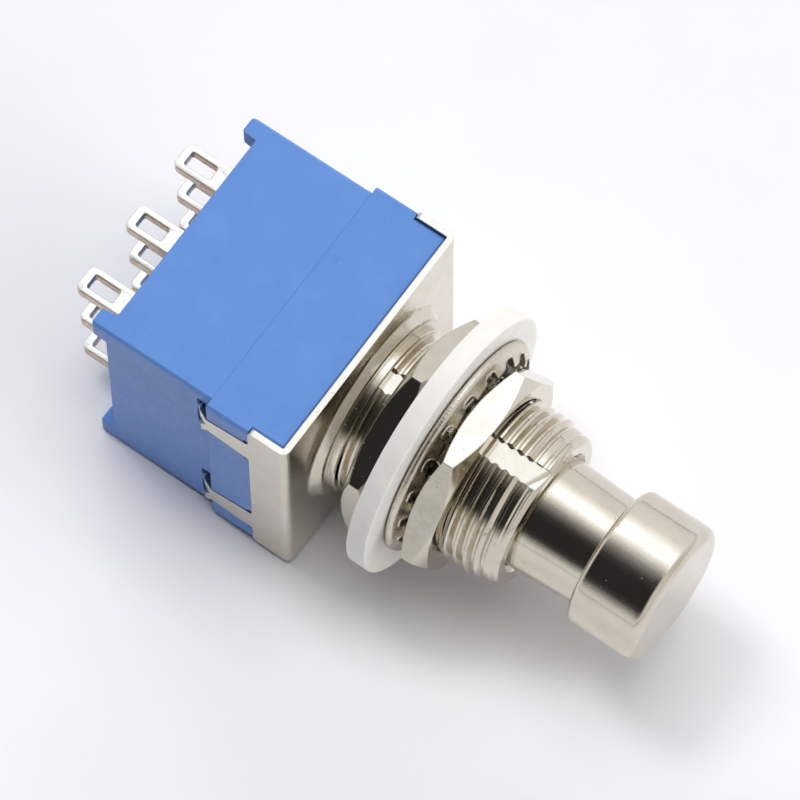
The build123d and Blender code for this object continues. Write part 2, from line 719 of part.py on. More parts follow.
def make_contact_pin(pole):
    """A brass pin with a ball end, and a nipple that centres its spring."""
    shape = disc(PIN_R, PIN_R - PIN_TIP_REACH, -PIN_HEEL)
    shape += Pos(0, 0, PIN_R - PIN_TIP_REACH) * Sphere(PIN_R)
    shape += disc(PIN_NIPPLE_R, -PIN_HEEL, PIN_NIPPLE_LENGTH - PIN_HEEL)
    return on_rocker(Pos(pole * POLE_PITCH, 0, 0) * shape)


def make_pin_spring(pole):
    wire = coil(
        PIN_SPRING_MEAN_R,
        PIN_SPRING_WIRE_R,
        -PIN_HEEL + PIN_SPRING_END_GAP,
        PIN_BORE_TOP - PIN_SPRING_END_GAP,
        PIN_SPRING_TURNS,
    )
    return on_rocker(Pos(pole * POLE_PITCH, 0, 0) * wire)


# ---------------------------------------------------------------- terminals and blades

def lug_plate():
    """The flat lug, from its tip up to the inside of the floor."""
    length = FLOOR_INNER_Z - LUG_TIP_Z
    outline = Pos(0, LUG_TIP_Z + length / 2) * Rectangle(LUG_WIDTH, length)
    outline = fillet(outline.vertices().group_by(Axis.Y)[0], LUG_TIP_ROUND)
    eyelet_middle = LUG_TIP_Z + EYELET_FROM_TIP + EYELET_LENGTH / 2
    eyelet = Pos(0, eyelet_middle) * RectangleRounded(EYELET_WIDTH, EYELET_LENGTH, EYELET_ROUND)
    return extrude(Plane.XZ * (outline - eyelet), amount=LUG_THICKNESS / 2, both=True)


def make_common_terminal(pole):
    """The middle terminal: a grooved seat between two horns that keep the blade in place."""
    half_t = LUG_THICKNESS / 2
    shape = lug_plate()
    shape += block(-HEAD_HALF, HEAD_HALF, -half_t, half_t, FLOOR_INNER_Z, CONTACT_Z + HORN_HEIGHT)
    shape -= block(-SEAT_HALF, SEAT_HALF, -half_t, half_t, CONTACT_Z, CONTACT_Z + HORN_HEIGHT)
    shape -= shaft_x(BLADE_BEAD_R + BEAD_GAP, -SEAT_HALF, SEAT_HALF, z=CONTACT_Z + CONTACT_GAP)
    return Pos(pole * POLE_PITCH, 0, 0) * shape


def make_throw_terminal(pole, row):
    """An outer terminal: its end is folded outwards over the floor and carries a silver pad."""
    half_t = LUG_THICKNESS / 2
    half_w = THROW_FOOT_WIDTH / 2
    foot_top = FLOOR_INNER_Z + THROW_FOOT_THICKNESS
    foot_middle = THROW_FOOT_LENGTH / 2 - half_t
    shape = lug_plate()
    shape += block(-half_w, half_w, -half_t, THROW_FOOT_LENGTH - half_t, FLOOR_INNER_Z, foot_top)
    pad = disc(PAD_R, foot_top, CONTACT_Z)
    shape += Pos(0, foot_middle, 0) * chamfer(rims(pad, PAD_R, CONTACT_Z), PAD_CHAMFER)
    if row < 0:
        shape = mirror(shape, Plane.XZ)
    return Pos(pole * POLE_PITCH, row * ROW_PITCH, 0) * shape


def make_contact_blade(pole):
    """A shallow V of spring bronze on a half-round bead, with a waist between the horns."""
    slope = math.radians(BLADE_SLOPE)
    rise = BLADE_REACH * math.tan(slope)
    upright = BLADE_THICKNESS / math.cos(slope)
    arms = [
        (0, 0),
        (BLADE_REACH, rise),
        (BLADE_REACH, rise + upright),
        (0, upright),
        (-BLADE_REACH, rise + upright),
        (-BLADE_REACH, rise),
    ]
    shape = plate_yz(arms, -BLADE_HALF_WIDTH, BLADE_HALF_WIDTH)
    corners = [e for e in upright_or_leaning(shape) if abs(e.center().Y) > BLADE_REACH / 2]
    shape = fillet(corners, BLADE_END_ROUND)
    for near, far in ((-HEAD_HALF, -BLADE_WAIST_HALF), (BLADE_WAIST_HALF, HEAD_HALF)):
        shape -= block(near, far, -BLADE_WAIST_REACH, BLADE_WAIST_REACH, -BLADE_REACH, BLADE_REACH)
    bead = shaft_x(BLADE_BEAD_R, -BLADE_WAIST_HALF, BLADE_WAIST_HALF)
    below = block(-HEAD_HALF, HEAD_HALF, -BLADE_REACH, BLADE_REACH, -BLADE_REACH, BLADE_THICKNESS / 2)
    shape += bead & below
    return Pos(pole * POLE_PITCH, 0, CONTACT_Z + CONTACT_GAP) * Rot(-BLADE_SLOPE, 0, 0) * shape


def upright_or_leaning(shape):
    """The straight edges through the blade's thickness."""
    return [
        e
        for e in shape.edges().filter_by(GeomType.LINE)
        if e.length < 2 * BLADE_THICKNESS and abs(e.center().X) > BLADE_HALF_WIDTH / 2
    ]


NODES = {
    "bracket": make_bracket(),
    "cover_frame": make_cover_frame(),
    "base_housing": make_base_housing(),
    "bushing": make_bushing(),
    "rear_nut": make_nut(REAR_NUT_Z, REAR_NUT_TURN),
    "nylon_washer": make_nylon_washer(),
    "lock_washer": make_lock_washer(),
    "front_nut": make_nut(FRONT_NUT_Z, FRONT_NUT_TURN),
    "button": make_button(),
    "retaining_ring": make_retaining_ring(),
    "return_spring": make_return_spring(),
    "pusher_pin": make_pusher_pin(),
    "pusher": make_pusher(),
    "rocker": make_rocker(),
}

for number, pole in enumerate(THREE_ABREAST, start=1):
    NODES[f"contact_pin_{number}"] = make_contact_pin(pole)
    NODES[f"pin_spring_{number}"] = make_pin_spring(pole)
    NODES[f"contact_blade_{number}"] = make_contact_blade(pole)
    NODES[f"terminal_common_{number}"] = make_common_terminal(pole)
    NODES[f"terminal_throw_a{number}"] = make_throw_terminal(pole, -1)
    NODES[f"terminal_throw_b{number}"] = make_throw_terminal(pole, 1)

os.makedirs("parts", exist_ok=True)
for node, shape in NODES.items():
    export_step(shape, f"parts/{node}.step")
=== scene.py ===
# %% [markdown]
# # A latching footswitch, dressed for its picture
# This is the stomp switch of an effects pedal, lying on its side on a white table: a blue
# moulded block, a nickel-plated bracket, a threaded bushing with its nuts and washers, and a
# round metal button. The solids come ready made from the CAD model, in metres. What is left
# for this lesson is what CAD doesn't give: the cut thread, soft edges, the finishes, the light
# and the view.

import bpy
import bmesh
import json
import math
from mathutils import Matrix, Vector


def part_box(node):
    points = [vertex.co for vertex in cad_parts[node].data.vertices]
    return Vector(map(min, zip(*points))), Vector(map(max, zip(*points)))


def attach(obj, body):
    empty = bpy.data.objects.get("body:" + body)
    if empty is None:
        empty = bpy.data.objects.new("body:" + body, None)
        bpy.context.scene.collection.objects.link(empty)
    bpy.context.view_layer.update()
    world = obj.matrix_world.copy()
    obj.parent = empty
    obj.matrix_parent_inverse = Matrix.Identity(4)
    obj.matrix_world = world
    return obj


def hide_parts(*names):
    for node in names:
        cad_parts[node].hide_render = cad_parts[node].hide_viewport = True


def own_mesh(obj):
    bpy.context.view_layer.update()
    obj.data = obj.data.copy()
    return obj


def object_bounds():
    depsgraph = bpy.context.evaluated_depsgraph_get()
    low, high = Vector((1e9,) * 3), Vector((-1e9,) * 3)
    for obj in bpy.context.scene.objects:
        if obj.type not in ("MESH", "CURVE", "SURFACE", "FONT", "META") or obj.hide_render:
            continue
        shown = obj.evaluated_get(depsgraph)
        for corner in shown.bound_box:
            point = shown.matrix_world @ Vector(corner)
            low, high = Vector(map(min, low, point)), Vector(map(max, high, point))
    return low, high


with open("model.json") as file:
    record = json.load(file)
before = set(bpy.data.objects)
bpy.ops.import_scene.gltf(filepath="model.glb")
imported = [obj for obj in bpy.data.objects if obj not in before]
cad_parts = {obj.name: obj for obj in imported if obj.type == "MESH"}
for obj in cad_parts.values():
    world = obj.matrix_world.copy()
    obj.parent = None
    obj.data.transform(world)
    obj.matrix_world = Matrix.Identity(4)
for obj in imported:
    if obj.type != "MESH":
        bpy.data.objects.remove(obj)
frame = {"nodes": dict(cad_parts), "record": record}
cad_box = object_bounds()
solids = frame["nodes"]
MM = 0.001
longest = (cad_box[1].z - cad_box[0].z) / MM
print("solids loaded:", len(solids), "longest side:", round(longest, 1), "mm")

# %% [markdown]
# ## Colours and nodes
# Paint shops and screens name colours in sRGB, while Cycles counts light in linear values. One
# function turns the first into the second. A second one adds a shader node with its settings
# and links in one line, which keeps every material below short enough to read as a recipe.

# %% Two helpers for every finish
def linear(hex_colour):
    """Turns an sRGB hex colour into the linear colour that the shaders want."""
    parts = [int(hex_colour[i : i + 2], 16) / 255 for i in (1, 3, 5)]
    return [p / 12.92 if p <= 0.04045 else ((p + 0.055) / 1.055) ** 2.4 for p in parts] + [1.0]


def add(tree, kind, sockets=(), **settings):
    """Adds one node: its settings by name, its sockets as values or as links from other nodes."""
    made = tree.nodes.new("ShaderNode" + kind)
    for name, value in settings.items():
        setattr(made, name, value)
    for socket, value in dict(sockets).items():
        if isinstance(value, bpy.types.NodeSocket):
            tree.links.new(value, made.inputs[socket])
        else:
            made.inputs[socket].default_value = value
    return made


print("nickel's warm grey in linear values:", [round(c, 3) for c in linear("#D4CDBF")[:3]])

# %% [markdown]
# ## A blank material
# Each finish starts from the same three things: an empty node tree, the piece's own
# coordinates in metres, and a Principled surface. The coordinates belong to the piece, so a
# grain stays where it is when the button is pressed. A pattern's scale is the number of
# repeats in one metre, so `repeats(0.1)` is a grain of a tenth of a millimetre. No real surface
# is even, so every finish is mottled: noise keeps to the middle of its range, and is stretched
# to the values that are wanted.

# %% Start a finish
def repeats(size_mm):
    """The texture scale that gives a pattern of this size."""
    return 1 / (size_mm * MM)


def blank(name, **sockets):
    """A new material, with its node tree, its Principled surface and the piece's coordinates."""
    material = bpy.data.materials.new(name)
    material.use_nodes = True
    tree = material.node_tree
    tree.nodes.clear()
    surface = add(tree, "BsdfPrincipled", {k.replace("_", " "): v for k, v in sockets.items()})
    add(tree, "OutputMaterial", {"Surface": surface.outputs["BSDF"]})
    place = add(tree, "TexCoord").outputs["Object"]
    return material, tree, surface, place


NOISE_RANGE = (0.3, 0.7)


def mottle(tree, place, size_mm, low, high):
    """Soft noise of one size, stretched so that its usual range reads as low to high."""
    noise = add(tree, "TexNoise", {"Vector": place, "Scale": repeats(size_mm), "Detail": 3.0})
    stretch = {
        "Value": noise.outputs["Fac"],
        "From Min": NOISE_RANGE[0],
        "From Max": NOISE_RANGE[1],
        "To Min": low,
        "To Max": high,
    }
    return add(tree, "MapRange", stretch).outputs["Result"]


print("a 0.1 mm grain repeats", round(repeats(0.1)), "times in a metre")

# %% [markdown]
# ## Blue moulded PBT
# The block is injection moulded in blue PBT, a tough polyester used for switches. The tool was
# spark eroded, so the skin is satin: a fine even pebble that spreads the highlight. Sliding
# about in a box leaves a few pale specks. PBT's IOR is about 1.57. The pebble on the tool is
# finer than the view can show, so it is drawn 0.09 mm across. The Bevel node rounds the sharp
# corners by 0.08 mm, to the eye only.

# %% Make the blue moulding
def blue_pbt():
    material, tree, surface, place = blank("PBT, moulded in a spark eroded tool", IOR=1.57)
    shade = mottle(tree, place, 2.6, 0.0, 1.0)
    body = add(
        tree,
        "Mix",
        {"Factor": shade, "A": linear("#5886CB"), "B": linear("#608BCF")},
        data_type="RGBA",
    )
    speck = add(tree, "TexNoise", {"Vector": place, "Scale": repeats(0.16), "Detail": 2.0})
    highest = {"Value": speck.outputs["Fac"], "From Min": 0.7, "From Max": 0.78, "To Max": 0.5}
    scuff = add(tree, "MapRange", highest).outputs["Result"]
    colour = add(
        tree,
        "Mix",
        {"Factor": scuff, "A": body.outputs["Result"], "B": linear("#B9CDEC")},
        data_type="RGBA",
    )
    tree.links.new(colour.outputs["Result"], surface.inputs["Base Color"])
    rough = mottle(tree, place, 0.5, 0.40, 0.52)
    tree.links.new(rough, surface.inputs["Roughness"])
    pebble = add(tree, "TexNoise", {"Vector": place, "Scale": repeats(0.09), "Detail": 2.0})
    edge = add(tree, "Bevel", {"Radius": 0.08 * MM}, samples=4)
    bump = {
        "Height": pebble.outputs["Fac"],
        "Distance": 0.006 * MM,
        "Strength": 0.6,
        "Normal": edge.outputs["Normal"],
    }
    tree.links.new(add(tree, "Bump", bump).outputs["Normal"], surface.inputs["Normal"])
    return material


BLUE_PBT = blue_pbt()
print("made:", BLUE_PBT.name)

# %% [markdown]
# ## Nickel plate
# The bushing and button are turned from brass bar and plated with bright nickel. Turning leaves
# rings round the axis, which the plating softens but doesn't hide. The rings depend only on
# height and on distance from the axis, so one pattern suits both the sides and the ends. The
# nuts are tumbled before plating: no rings, a smooth skin and wider soft edges. The bracket is
# pressed from rolled sheet steel, so its grain is mottled. The lock washer is hardened strip,
# and its plating stays satin. Nickel is a warm grey metal, and on all four, dust and tiny pits
# sparkle in the dark part of a reflection. The turning marks are finer than the view can show,
# so they are drawn 0.06 mm apart.

# %% Make the nickel finishes
def rings(tree, place, pitch_mm):
    """Turning marks: noise along the axis and outwards from it, and nothing around it."""
    parts = add(tree, "SeparateXYZ", {"Vector": place})
    flat = add(tree, "CombineXYZ", {"X": parts.outputs["X"], "Y": parts.outputs["Y"]})
    out = add(tree, "VectorMath", {0: flat.outputs["Vector"]}, operation="LENGTH")
    line = add(tree, "CombineXYZ", {"X": out.outputs["Value"], "Z": parts.outputs["Z"]})
    fine = {"Vector": line.outputs["Vector"], "Scale": repeats(pitch_mm), "Detail": 2.0}
    return add(tree, "TexNoise", fine).outputs["Fac"]


def dust(tree, place, spacing_mm, size_mm, kept):
    """Small round flecks: one to each cell of a random grid, of which only a share is kept."""
    cells = add(tree, "TexVoronoi", {"Vector": place, "Scale": repeats(spacing_mm)})
    rim = size_mm / spacing_mm
    inside_rim = {"Value": cells.outputs["Distance"], "From Min": rim, "From Max": rim / 2}
    fleck = add(tree, "MapRange", inside_rim).outputs["Result"]
    pick = add(tree, "SeparateXYZ", {"Vector": cells.outputs["Color"]}).outputs["X"]
    chosen = add(tree, "Math", {0: pick, 1: kept}, operation="LESS_THAN").outputs["Value"]
    return add(tree, "Math", {0: fleck, 1: chosen}, operation="MULTIPLY").outputs["Value"]


DUST_ROUGHNESS = 0.6


def nickel(name, rough, ring_depth_mm, grain_mm, grain_depth_mm, edge_mm):
    """Nickel plate with this range of roughness, these marks and edges this soft."""
    material, tree, surface, place = blank(name, Metallic=1.0)
    film = mottle(tree, place, 1.8, 0.0, 1.0)
    colour = add(
        tree,
        "Mix",
        {"Factor": film, "A": linear("#CFC7B7"), "B": linear("#D8D2C6")},
        data_type="RGBA",
    )
    tree.links.new(colour.outputs["Result"], surface.inputs["Base Color"])
    polish = mottle(tree, place, 0.35, *rough)
    flecks = dust(tree, place, spacing_mm=0.55, size_mm=0.055, kept=0.5)
    dusty = add(tree, "Math", {0: flecks, 1: DUST_ROUGHNESS, 2: polish}, operation="MULTIPLY_ADD")
    tree.links.new(dusty.outputs["Value"], surface.inputs["Roughness"])
    edge = add(tree, "Bevel", {"Radius": edge_mm * MM}, samples=4).outputs["Normal"]
    grain = add(tree, "TexNoise", {"Vector": place, "Scale": repeats(grain_mm), "Detail": 3.0})
    skin = {"Height": grain.outputs["Fac"], "Distance": grain_depth_mm * MM, "Normal": edge}
    normal = add(tree, "Bump", skin).outputs["Normal"]
    if ring_depth_mm:
        marks = rings(tree, place, pitch_mm=0.06)
        turned = {"Height": marks, "Distance": ring_depth_mm * MM, "Normal": normal}
        normal = add(tree, "Bump", turned).outputs["Normal"]
    tree.links.new(normal, surface.inputs["Normal"])
    return material


TURNED_NICKEL = nickel(
    "Nickel, bright, on turned brass",
    rough=(0.07, 0.11),
    ring_depth_mm=0.001,
    grain_mm=0.16,
    grain_depth_mm=0.003,
    edge_mm=0.05,
)
WORN_NICKEL = nickel(
    "Nickel, bright, worn at the edges",
    rough=(0.07, 0.12),
    ring_depth_mm=0.0,
    grain_mm=0.3,
    grain_depth_mm=0.0008,
    edge_mm=0.12,
)
PRESSED_NICKEL = nickel(
    "Nickel, bright, on pressed steel",
    rough=(0.12, 0.18),
    ring_depth_mm=0.0,
    grain_mm=0.22,
    grain_depth_mm=0.008,
    edge_mm=0.05,
)
SATIN_NICKEL = nickel(
    "Nickel, satin, on hardened strip",
    rough=(0.24, 0.36),
    ring_depth_mm=0.0,
    grain_mm=0.2,
    grain_depth_mm=0.012,
    edge_mm=0.05,
)
print("made:", *[m.name for m in (TURNED_NICKEL, WORN_NICKEL, PRESSED_NICKEL, SATIN_NICKEL)])

# %% [markdown]
# ## Natural nylon
# The thick washer and the pusher are nylon with no pigment. A little light goes in and comes
# out again nearby, which makes the washer milky and softens the shade at its edges, so the
# surface has some subsurface light, about a millimetre deep. Nylon's IOR is 1.53.

# %% Make the nylon
def natural_nylon():
    material, tree, surface, place = blank(
        "Nylon, natural, moulded",
        IOR=1.53,
        Subsurface_Weight=0.35,
        Subsurface_Scale=0.9 * MM,
    )
    surface.inputs["Subsurface Radius"].default_value = (1.0, 0.95, 0.9)
    cloud = mottle(tree, place, 1.4, 0.0, 1.0)
    colour = add(
        tree,
        "Mix",
        {"Factor": cloud, "A": linear("#EAE8E2"), "B": linear("#F1EFEA")},
        data_type="RGBA",
    )
    tree.links.new(colour.outputs["Result"], surface.inputs["Base Color"])
    tree.links.new(mottle(tree, place, 0.4, 0.38, 0.5), surface.inputs["Roughness"])
    flow = add(tree, "TexNoise", {"Vector": place, "Scale": repeats(0.3), "Detail": 2.0})
    bump = {"Height": flow.outputs["Fac"], "Distance": 0.006 * MM}
    tree.links.new(add(tree, "Bump", bump).outputs["Normal"], surface.inputs["Normal"])
    return material


NYLON = natural_nylon()
print("made:", NYLON.name)

# %% [markdown]
# ## Silver-plated copper, blanked
# The nine solder lugs and the contact blades are punched from copper and bronze strip that
# was silver plated first. The broad faces are a soft, nearly white silver, and the sheared edges
# and the walls of the eyelets show patches of the brown metal inside. The lugs' strip lies
# across Y, so how far a face turns away from Y tells a sheared edge from a plated face.

# %% Make the silver plate
def silver_plate(name, core_hex):
    material, tree, surface, place = blank(name, Metallic=1.0)
    facing = add(tree, "SeparateXYZ", {"Vector": add(tree, "TexCoord").outputs["Normal"]})
    turned_away = add(tree, "Math", {0: facing.outputs["Y"]}, operation="ABSOLUTE")
    # From 0.75 the face still counts as broad, and by 0.55 it has turned into an edge.
    sheared = {"Value": turned_away.outputs["Value"], "From Min": 0.75, "From Max": 0.55}
    edge_share = add(tree, "MapRange", sheared).outputs["Result"]
    torn = mottle(tree, place, 0.3, 0.5, 0.9)
    share = add(tree, "Math", {0: edge_share, 1: torn}, operation="MULTIPLY").outputs["Value"]
    film = mottle(tree, place, 0.5, 0.0, 1.0)
    plate = add(
        tree,
        "Mix",
        {"Factor": film, "A": linear("#F2EFE8"), "B": linear("#FAF8F4")},
        data_type="RGBA",
    )
    colour = add(
        tree,
        "Mix",
        {"Factor": share, "A": plate.outputs["Result"], "B": linear(core_hex)},
        data_type="RGBA",
    )
    tree.links.new(colour.outputs["Result"], surface.inputs["Base Color"])
    tree.links.new(mottle(tree, place, 0.18, 0.26, 0.42), surface.inputs["Roughness"])
    grain = add(tree, "TexNoise", {"Vector": place, "Scale": repeats(0.16), "Detail": 3.0})
    bump = {"Height": grain.outputs["Fac"], "Distance": 0.014 * MM}
    tree.links.new(add(tree, "Bump", bump).outputs["Normal"], surface.inputs["Normal"])
    return material


SILVERED_COPPER = silver_plate("Copper strip, silver plated, blanked", "#B4936A")
SILVERED_BRONZE = silver_plate("Bronze strip, silver plated, blanked", "#B08A5A")
print("made:", SILVERED_COPPER.name, "and", SILVERED_BRONZE.name)

# %% [markdown]
# ## The hidden metals and the black rocker
# Nobody sees these until the switch is opened, but they are finished all the same: turned
# brass for the contact pins, drawn spring steel for the springs, clip and cross pin, and a
# black moulding for the rocker. Drawn wire is smooth and grey, and brass is yellow with an
# uneven film.

# %% Make the hidden finishes
def plain_metal(name, dark_hex, light_hex, rough, grain_mm):
    material, tree, surface, place = blank(name, Metallic=1.0)
    film = mottle(tree, place, 4 * grain_mm, 0.0, 1.0)
    colour = add(
        tree,
        "Mix",
        {"Factor": film, "A": linear(dark_hex), "B": linear(light_hex)},
        data_type="RGBA",
    )
    tree.links.new(colour.outputs["Result"], surface.inputs["Base Color"])
    tree.links.new(mottle(tree, place, grain_mm, *rough), surface.inputs["Roughness"])
    return material


def black_pbt():
    material, tree, surface, place = blank("PBT, black, moulded", IOR=1.57)
    shade = mottle(tree, place, 1.2, 0.0, 1.0)
    colour = add(
        tree,
        "Mix",
        {"Factor": shade, "A": linear("#1B1B1C"), "B": linear("#262628")},
        data_type="RGBA",
    )
    tree.links.new(colour.outputs["Result"], surface.inputs["Base Color"])
    tree.links.new(mottle(tree, place, 0.3, 0.38, 0.5), surface.inputs["Roughness"])
    return material


TURNED_BRASS = plain_metal("Brass, turned", "#CDAA5E", "#DDBE76", (0.18, 0.3), 0.15)
SPRING_STEEL = plain_metal("Steel wire, drawn", "#8F8D8A", "#B1AFAB", (0.2, 0.34), 0.12)
BLACK_PBT = black_pbt()
print("made:", TURNED_BRASS.name, SPRING_STEEL.name, BLACK_PBT.name)

# %% [markdown]
# ## Dressing the solids
# The solids whose shapes are right stay as they are and only take their finish.

# %% Put each finish on its solids
def dress(material, *names):
    """Gives the material to every slot of the named solids."""
    for name in names:
        mesh = solids[name].data
        if not mesh.materials:
            mesh.materials.append(material)
        for slot in solids[name].material_slots:
            slot.material = material


poles = (1, 2, 3)
dress(BLUE_PBT, "cover_frame", "base_housing")
dress(PRESSED_NICKEL, "bracket")
dress(SATIN_NICKEL, "lock_washer")
dress(TURNED_NICKEL, "button", "bushing")
dress(WORN_NICKEL, "rear_nut", "front_nut")
dress(NYLON, "nylon_washer", "pusher")
dress(SILVERED_COPPER, *[n for n in solids if n.startswith("terminal_")])
dress(SILVERED_BRONZE, *[f"contact_blade_{n}" for n in poles])
dress(TURNED_BRASS, *[f"contact_pin_{n}" for n in poles])
dress(SPRING_STEEL, "return_spring", "retaining_ring", "pusher_pin")
dress(SPRING_STEEL, *[f"pin_spring_{n}" for n in poles])
dress(BLACK_PBT, "rocker")
bare = [n for n in solids if not solids[n].material_slots[0].material]
print("dressed:", len(solids) - len(bare), "bare:", bare)

# %% [markdown]
# ## The cut thread
# The CAD bushing is a plain barrel, because a cut thread says little to a fit check and costs
# a solid model dear. To the eye it is everything. A thread is one profile carried up a helix, so
# the mesh is a grid: its columns go round, and its rows follow the profile and climb one pitch
# a turn. Every crest and root then has its own row of points and stays crisp. The rows are
# capped by an envelope, which is the barrel before threading: full between the shoulder and
# the lead, waisted where the nuts sit, and tapered at the end.

# %% Sizes of the bushing
THREAD_R = 5.9
PITCH = 0.75
ROOT_DEPTH = 0.44
CREST_FLAT = 0.16
ROOT_FLAT = 0.14
FLANK = (PITCH - CREST_FLAT - ROOT_FLAT) / 2
COLLAR_TOP = 1.25
END = 13.5
# Heights and radii where the barrel narrows towards its end.
LEAD = [(11.7, THREAD_R), (12.2, 5.65), (13.25, 5.52), (END, 5.25)]
NUT_ZONES = [(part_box(n)[0].z / MM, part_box(n)[1].z / MM) for n in ("rear_nut", "front_nut")]
IN_NUT_R = 5.656
ZONE_MARGIN = 0.001
KEYWAY_HALF = 0.8
KEYWAY_FLOOR = 5.38
KEYWAY_MIDDLE_R = 5.7
KEYWAY_HALF_ANGLE = math.asin(KEYWAY_HALF / KEYWAY_MIDDLE_R)
KEYWAY_TURN = math.radians(-88.3)
LEAST_KEYWAY = 0.02
ARC_STEPS = 140
print("the nuts hold the thread over", [[round(z, 2) for z in zone] for zone in NUT_ZONES], "mm")


# %% The barrel that the thread is cut on
def barrel(z):
    """The radius of the bushing before threading, at one height."""
    if any(low - ZONE_MARGIN < z < high + ZONE_MARGIN for low, high in NUT_ZONES):
        return IN_NUT_R
    for (z0, r0), (z1, r1) in zip(LEAD, LEAD[1:]):
        if z0 < z <= z1:
            return r0 + (r1 - r0) * (z - z0) / (z1 - z0)
    return THREAD_R


def cut_depth(at):
    """How deep the tool cuts at a point of the pitch: crest, flank, root and flank again."""
    if at < CREST_FLAT:
        return 0.0
    if at < CREST_FLAT + FLANK:
        return ROOT_DEPTH * (at - CREST_FLAT) / FLANK
    if at < CREST_FLAT + FLANK + ROOT_FLAT:
        return ROOT_DEPTH
    return ROOT_DEPTH * (PITCH - at) / FLANK


thread_root = THREAD_R - cut_depth(CREST_FLAT + FLANK + ROOT_FLAT / 2)
print("barrel in the nuts:", barrel(NUT_ZONES[0][0]), "thread root:", round(thread_root, 2), "mm")

# %% [markdown]
# ## A wall of rings
# The bushing's skin is a chain of closed rings, each with the same number of points. They
# run from the bore's mouth over the end, down the thread to the riveted tail, and back up the
# inside, so the last ring meets the first. The keyway is cut in the same grid: two columns mark
# its edges and two more its floor, and where there is no keyway they lie on the circle.

# %% One ring of the bushing
def ring(radius, height, keyed=False):
    """Points of one ring; height may follow the share of a turn, and radius the height."""
    level = height if callable(height) else (lambda share: height)
    reach = radius if callable(radius) else (lambda z: radius)
    half = KEYWAY_HALF_ANGLE
    points = []
    for i in range(ARC_STEPS + 1):
        angle = half + (2 * math.pi - 2 * half) * i / ARC_STEPS
        z = level(angle / (2 * math.pi))
        r = reach(z)
        if keyed and i in (0, ARC_STEPS):
            side = KEYWAY_HALF if i == 0 else -KEYWAY_HALF
            points.append(Vector((math.sqrt(r * r - side * side), side, z)))
        else:
            points.append(Vector((r * math.cos(angle), r * math.sin(angle), z)))
    for side in (-1, 1):
        z = level(1.0 if side < 0 else 0.0)
        r = reach(z)
        if keyed:
            floor = min(KEYWAY_FLOOR, math.sqrt(r * r - KEYWAY_HALF**2) - LEAST_KEYWAY)
            points.append(Vector((floor, side * KEYWAY_HALF, z)))
        else:
            angle = side * half / 3
            points.append(Vector((r * math.cos(angle), r * math.sin(angle), z)))
    turn = Matrix.Rotation(KEYWAY_TURN, 3, "Z")
    return [turn @ p * MM for p in points]


def place_in_scene(name, data):
    """A new object in the scene for this mesh, lamp or camera."""
    made = bpy.data.objects.new(name, data)
    bpy.context.scene.collection.objects.link(made)
    return made


SKIN_WELD = 0.002
SKIN_SHARP_FROM = math.radians(32)


def skin(name, rings_of_points, material):
    """Joins the rings, and the last to the first, into one closed mesh."""
    mesh = bpy.data.meshes.new(name)
    count = len(rings_of_points[0])
    points = [p for one in rings_of_points for p in one]
    faces = []
    for a in range(len(rings_of_points)):
        b = (a + 1) % len(rings_of_points)
        for i in range(count):
            j = (i + 1) % count
            faces.append((a * count + i, a * count + j, b * count + j, b * count + i))
    mesh.from_pydata(points, [], faces)
    mesh.materials.append(material)
    shaped = bmesh.new()
    shaped.from_mesh(mesh)
    bmesh.ops.remove_doubles(shaped, verts=shaped.verts, dist=SKIN_WELD * MM)
    bmesh.ops.recalc_face_normals(shaped, faces=shaped.faces)
    shaped.to_mesh(mesh)
    shaped.free()
    mesh.shade_smooth()
    mesh.set_sharp_from_angle(angle=SKIN_SHARP_FROM)
    return place_in_scene(name, mesh)


print("points in a ring:", len(ring(THREAD_R, 0.0)))


# %% Wind the thread
def thread_rings():
    """Rings from the shoulder to the end that climb one pitch in each turn."""
    root = CREST_FLAT + FLANK
    marks = [0.0, CREST_FLAT, root - FLANK / 2, root, PITCH - FLANK, PITCH - FLANK / 2]
    made = []
    turns = math.ceil((END - COLLAR_TOP) / PITCH) + 2
    for turn in range(-2, turns):
        for mark in marks:
            start = COLLAR_TOP + turn * PITCH + mark

            def level(share, start=start):
                return min(max(start + share * PITCH, COLLAR_TOP), END)

            def reach(z, mark=mark):
                return min(barrel(z), THREAD_R - cut_depth(mark))

            made.append(ring(reach, level, keyed=True))
    return made


print("rings in the thread:", len(thread_rings()))

# %% [markdown]
# ## The rest of the bushing
# Behind the thread comes a round collar that sits on the bracket's boss, then a waist that goes
# through the boss, and a tail that was rolled over behind it to hold the two together. The bore
# has a seat for the return spring and a smaller hole for the stem.

# %% Close the bushing
BORE_R = 4.15
BORE_LEAD = 0.35
STEM_HOLE_R = 2.6
SPRING_SEAT_Z = 3.0
COLLAR_R = 6.1
COLLAR_ROUND = 0.1
COLLAR_BASE = 0.7
WAIST_R = 4.95
TAIL = [(5.8, 0.25), (5.8, -0.05), (5.73, -0.22), (5.55, -0.3)]
TAIL_BORE_R = 3.9
TAIL_BORE_TOP = 1.0
outside = [
    ring(BORE_R, END - BORE_LEAD),
    ring(BORE_R + BORE_LEAD, END),
    ring(barrel(END), END, keyed=True),
    *reversed(thread_rings()),
    ring(THREAD_R, COLLAR_TOP, keyed=True),
    ring(THREAD_R, COLLAR_TOP),
    ring(COLLAR_R - COLLAR_ROUND, COLLAR_TOP),
    ring(COLLAR_R, COLLAR_TOP - COLLAR_ROUND),
    ring(COLLAR_R, COLLAR_BASE),
    ring(WAIST_R, COLLAR_BASE),
    ring(WAIST_R, TAIL[0][1]),
    *[ring(radius, z) for radius, z in TAIL],
]
inside = [
    ring(TAIL_BORE_R, TAIL[-1][1]),
    ring(TAIL_BORE_R, TAIL_BORE_TOP),
    ring(STEM_HOLE_R, TAIL_BORE_TOP),
    ring(STEM_HOLE_R, SPRING_SEAT_Z),
    ring(BORE_R, SPRING_SEAT_Z),
]
